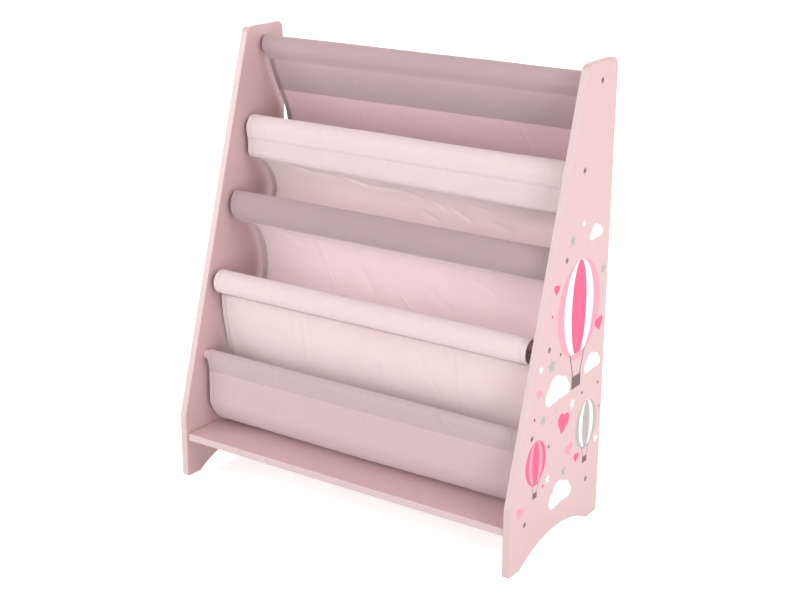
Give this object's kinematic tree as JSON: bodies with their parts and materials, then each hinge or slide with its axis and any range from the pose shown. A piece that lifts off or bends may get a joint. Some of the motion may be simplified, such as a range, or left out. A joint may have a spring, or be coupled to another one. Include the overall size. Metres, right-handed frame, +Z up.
{
  "type": "sling bookshelf",
  "caption": "Free-standing children's book rack: two panels, a shelf board and rods that carry sewn cloth slings as stepped book pockets.",
  "frame": {"origin": "on the floor, midway between the two side panels and midway between their front and back edges", "axes": "+Z up, +Y to the back of the rack, +X to the right for a person facing it"},
  "size_m": [0.624, 0.276, 0.72],
  "materials": {
    "painted_board": "satin pink paint over smooth fibreboard",
    "painted_rod": "satin pink paint over a round wooden rod",
    "screw_steel": "dull zinc-plated cross-head screw",
    "mauve_cloth": "plain-woven cotton, muted mauve",
    "pale_cloth": "plain-woven cotton, very pale pink",
    "rose_cloth": "plain-woven cotton, light rose"
  },
  "bodies": {
    "root": {"board_screw_back_left": "screw_steel", "board_screw_back_right": "screw_steel", "board_screw_front_left": "screw_steel", "board_screw_front_right": "screw_steel", "cloth_panel_1": "mauve_cloth", "cloth_panel_2": "pale_cloth", "cloth_panel_3": "mauve_cloth", "cloth_panel_4": "rose_cloth", "cloth_panel_5": "pale_cloth", "cloth_panel_6": "mauve_cloth", "rod_1": "painted_rod", "rod_2": "painted_rod", "rod_3": "painted_rod", "rod_4": "painted_rod", "rod_5": "painted_rod", "rod_screw_1_left": "screw_steel", "rod_screw_1_right": "screw_steel", "rod_screw_2_left": "screw_steel", "rod_screw_2_right": "screw_steel", "rod_screw_3_left": "screw_steel", "rod_screw_3_right": "screw_steel", "rod_screw_4_left": "screw_steel", "rod_screw_4_right": "screw_steel", "rod_screw_5_left": "screw_steel", "rod_screw_5_right": "screw_steel", "shelf_board": "painted_board", "side_panel_left": "painted_board", "side_panel_right": "painted_board"}
  },
  "joints": []
}
